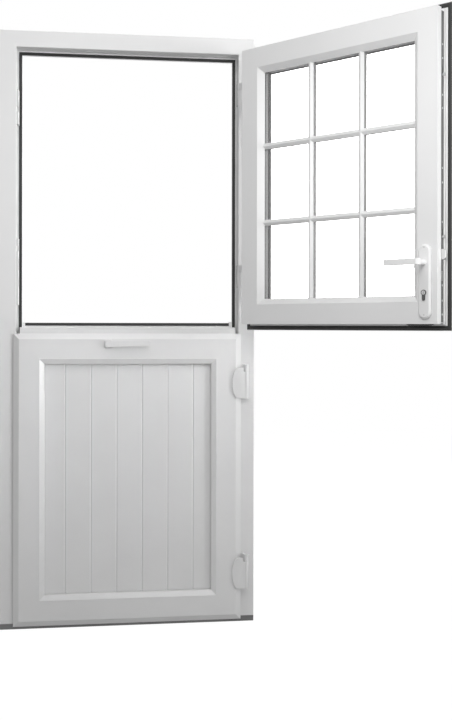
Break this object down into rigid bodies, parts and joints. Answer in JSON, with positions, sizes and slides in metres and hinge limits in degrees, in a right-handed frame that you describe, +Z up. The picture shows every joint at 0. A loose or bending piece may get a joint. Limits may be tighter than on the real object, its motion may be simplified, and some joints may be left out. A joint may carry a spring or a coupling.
{
  "type": "stable door",
  "caption": "White framed stable door in two halves, boarded lower leaf closed under a rebated rail, glazed upper leaf standing open on its hinges.",
  "frame": {"origin": "centre of the underside of the threshold", "axes": "+X to the hinge side, +Y to the outside, +Z up; the leaves open towards -Y"},
  "size_m": [1.4273, 0.7543, 2.1],
  "materials": {
    "white_plastic": "satin",
    "black_seal": "matte",
    "steel_tube": "satin",
    "threshold_metal": "satin",
    "keep_metal": "satin",
    "white_metal": "satin",
    "cylinder_metal": "satin",
    "clear_glass": "polished",
    "spacer_metal": "satin",
    "packer_plastic": "matte"
  },
  "bodies": {
    "frame": {"frame_profile": "white_plastic", "frame_reinforcement": "steel_tube", "threshold": "threshold_metal", "frame_gasket": "black_seal", "threshold_gasket": "black_seal", "centre_keep": "keep_metal", "upper_keep": "keep_metal", "lower_bolt_keep": "keep_metal", "frame_screws": "steel_tube", "fixing_caps": "white_plastic", "hinge_bases_lower": "white_metal", "hinge_bases_upper": "white_metal", "hinge_pins": "steel_tube"},
    "upper_leaf": {"upper_sash": "white_plastic", "upper_reinforcement": "steel_tube", "upper_beads": "white_plastic", "outer_pane": "clear_glass", "inner_pane": "clear_glass", "spacer_grid": "spacer_metal", "glazing_bars": "white_plastic", "upper_glass_gasket": "black_seal", "upper_bead_gasket": "black_seal", "upper_packers": "packer_plastic", "upper_flange_gasket": "black_seal", "lock_faceplate": "keep_metal", "lock_case": "keep_metal", "backplate_outside": "white_metal", "backplate_inside": "white_metal", "cylinder_body": "cylinder_metal", "handle_screws": "steel_tube", "hinge_flags_upper": "white_metal", "run_up_block": "packer_plastic"},
    "lower_leaf": {"lower_sash": "white_plastic", "lower_reinforcement": "steel_tube", "lower_beads": "white_plastic", "door_panel": "white_plastic", "lower_panel_gasket": "black_seal", "lower_bead_gasket": "black_seal", "lower_packers": "packer_plastic", "meeting_rail": "white_plastic", "rail_end_caps": "white_plastic", "rail_gasket": "black_seal", "lower_flange_gasket": "black_seal", "handle_base": "white_metal", "bolt_gearbox": "keep_metal", "hinge_flags_lower": "white_metal"},
    "lever_set": {"lever_outside": "white_metal", "lever_inside": "white_metal", "spindle": "steel_tube"},
    "latch_bolt": {"latch": "keep_metal"},
    "dead_bolt": {"deadbolt": "keep_metal"},
    "strip": {"drive_strip": "keep_metal"},
    "plug": {"cylinder_plug": "cylinder_metal"},
    "small_lever": {"lower_lever": "white_metal"},
    "rod": {"bolt_rod": "steel_tube"}
  },
  "joints": [
    {"name": "upper_leaf_swing", "type": "hinge", "parent": "frame", "child": "upper_leaf", "pos_m": [0.42, -0.058, 1.55], "axis": [0, 0, 1], "range_deg": [-132, 38]},
    {"name": "lower_leaf_swing", "type": "hinge", "parent": "frame", "child": "lower_leaf", "pos_m": [0.42, -0.058, 0.55], "axis": [0, 0, 1], "range_deg": [0, 132]},
    {"name": "lever_turn", "type": "hinge", "parent": "upper_leaf", "child": "lever_set", "pos_m": [0.89725, -0.65231, 1.258], "axis": [-0.7431, -0.6691, 0], "range_deg": [-40, 40], "stiffness_Nm_per_rad": 2},
    {"name": "latch_slide", "type": "slide", "parent": "upper_leaf", "child": "latch_bolt", "axis": [-0.6691, 0.7431, 0], "range_m": [0, 0.01], "stiffness_N_per_m": 300, "springref_m": -0.01},
    {"name": "strip_slide", "type": "slide", "parent": "upper_leaf", "child": "strip", "axis": [0, 0, 1], "range_m": [0, 0.02]},
    {"name": "plug_turn", "type": "hinge", "parent": "upper_leaf", "child": "plug", "pos_m": [0.89725, -0.65231, 1.166], "axis": [-0.7431, -0.6691, 0], "range_deg": [0, 360]},
    {"name": "deadbolt_slide", "type": "slide", "parent": "upper_leaf", "child": "dead_bolt", "axis": [0.6691, -0.7431, 0], "range_m": [0, 0.0201]},
    {"name": "small_lever_turn", "type": "hinge", "parent": "lower_leaf", "child": "small_lever", "pos_m": [-0.072, -0.015, 1.001], "axis": [0, 1, 0], "range_deg": [0, 90]},
    {"name": "rod_slide", "type": "slide", "parent": "lower_leaf", "child": "rod", "axis": [-1, 0, 0], "range_m": [0, 0.0201]}
  ],
  "couplings": [
    {"joint": "deadbolt_slide", "follows": "strip_slide", "ratio": 1},
    {"joint": "rod_slide", "follows": "small_lever_turn", "m_per_rad": 0.012732}
  ]
}
